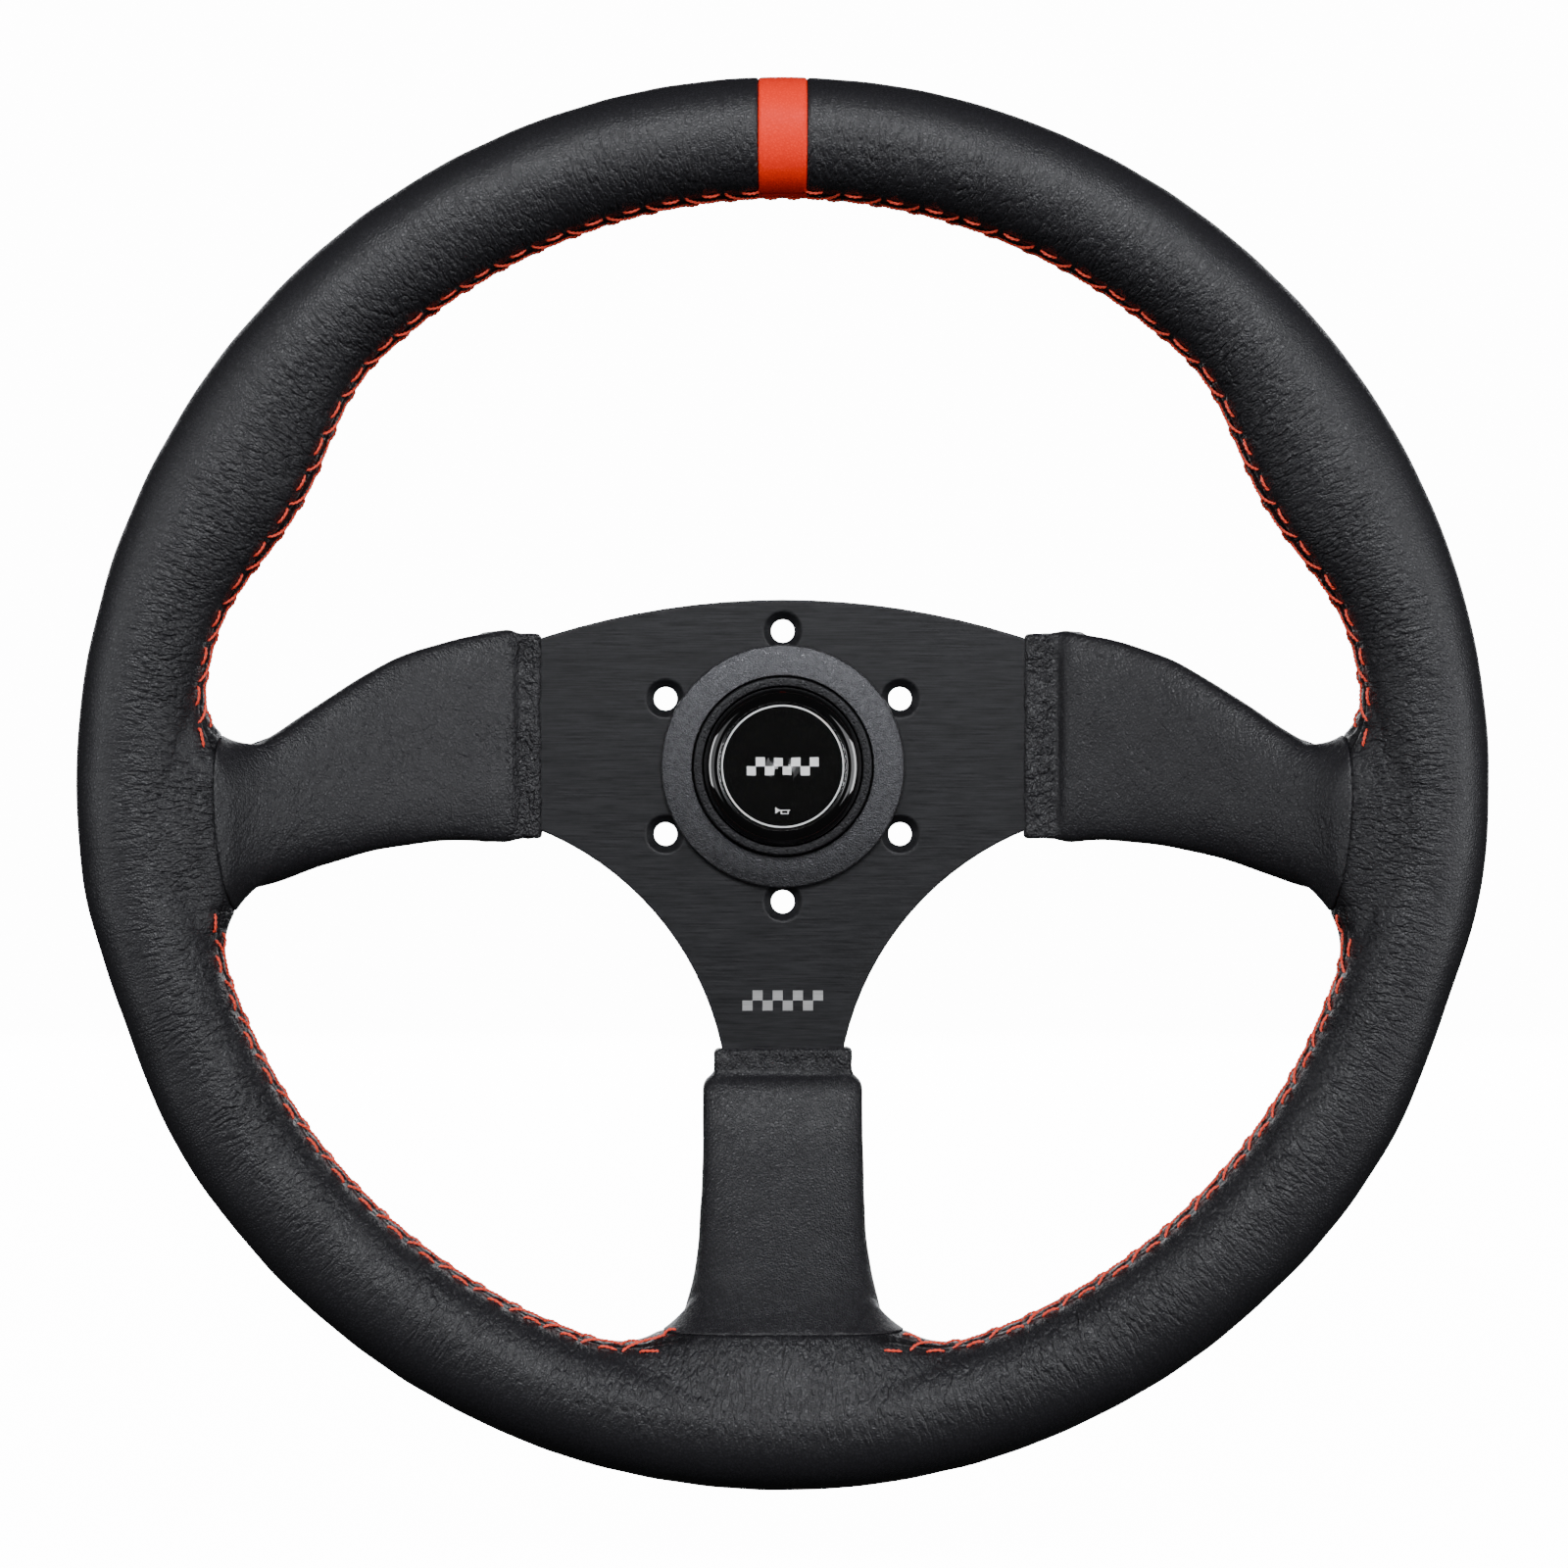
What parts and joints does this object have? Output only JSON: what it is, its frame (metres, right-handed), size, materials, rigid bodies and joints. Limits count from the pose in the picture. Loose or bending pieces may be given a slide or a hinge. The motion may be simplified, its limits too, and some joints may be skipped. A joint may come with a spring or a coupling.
{
  "type": "steering wheel",
  "caption": "Dished three-spoke steering wheel with a leather grip, red centre band, bolt-on hub plate and a central horn push button.",
  "frame": {"origin": "centre of the hub bolt circle, on the spoke plate's rear face", "axes": "+Y along the steering axis, away from the driver; +Z towards the rim's top; +X to the driver's right"},
  "size_m": [0.35, 0.0716, 0.35],
  "materials": {
    "spoke_frame": "black anodised, brushed",
    "rim_core_ring": "mill finish",
    "spoke_rivets": "plain",
    "grip_foam": "moulded polyurethane foam",
    "rim_leather": "semi-gloss, fine grain",
    "centre_band": "semi-gloss, fine grain",
    "left_spoke_leather": "semi-gloss, fine grain",
    "right_spoke_leather": "semi-gloss, fine grain",
    "lower_spoke_leather": "semi-gloss, fine grain",
    "upper_stitching": "waxed thread",
    "lower_left_stitching": "waxed thread",
    "lower_right_stitching": "waxed thread",
    "left_spoke_stitching": "waxed thread",
    "right_spoke_stitching": "waxed thread",
    "lower_spoke_stitching": "waxed thread",
    "trim_ring": "fine textured",
    "trim_ring_nut": "black anodised",
    "button_housing": "fine textured",
    "housing_o_ring": "smooth",
    "button_base": "phenolic board",
    "contact_ring": "turned",
    "ground_ring": "stamped",
    "ground_terminal": "tinned",
    "live_terminal": "tinned",
    "button_springs": "spring wire",
    "button_cap": "gloss",
    "emblem_disc": "printed",
    "emblem_lens": "clear resin",
    "contact_plate": "stamped",
    "contact_screw": "pan head"
  },
  "bodies": {
    "wheel": {"spoke_frame": "spoke_frame", "rim_core_ring": "rim_core_ring", "spoke_rivets": "spoke_rivets", "grip_foam": "grip_foam", "rim_leather": "rim_leather", "centre_band": "centre_band", "left_spoke_leather": "left_spoke_leather", "right_spoke_leather": "right_spoke_leather", "lower_spoke_leather": "lower_spoke_leather", "upper_stitching": "upper_stitching", "lower_left_stitching": "lower_left_stitching", "lower_right_stitching": "lower_right_stitching", "left_spoke_stitching": "left_spoke_stitching", "right_spoke_stitching": "right_spoke_stitching", "lower_spoke_stitching": "lower_spoke_stitching", "trim_ring": "trim_ring", "trim_ring_nut": "trim_ring_nut", "button_housing": "button_housing", "housing_o_ring": "housing_o_ring", "button_base": "button_base", "contact_ring": "contact_ring", "ground_ring": "ground_ring", "ground_terminal": "ground_terminal", "live_terminal": "live_terminal", "button_springs": "button_springs"},
    "horn_button": {"button_cap": "button_cap", "emblem_disc": "emblem_disc", "emblem_lens": "emblem_lens", "contact_plate": "contact_plate", "contact_screw": "contact_screw"}
  },
  "joints": [
    {"name": "horn_press", "type": "slide", "parent": "wheel", "child": "horn_button", "axis": [0, 1, 0], "range_m": [0, 0.0025], "stiffness_N_per_m": 1500, "springref_m": -0.002, "deforming": ["button_springs"]}
  ]
}
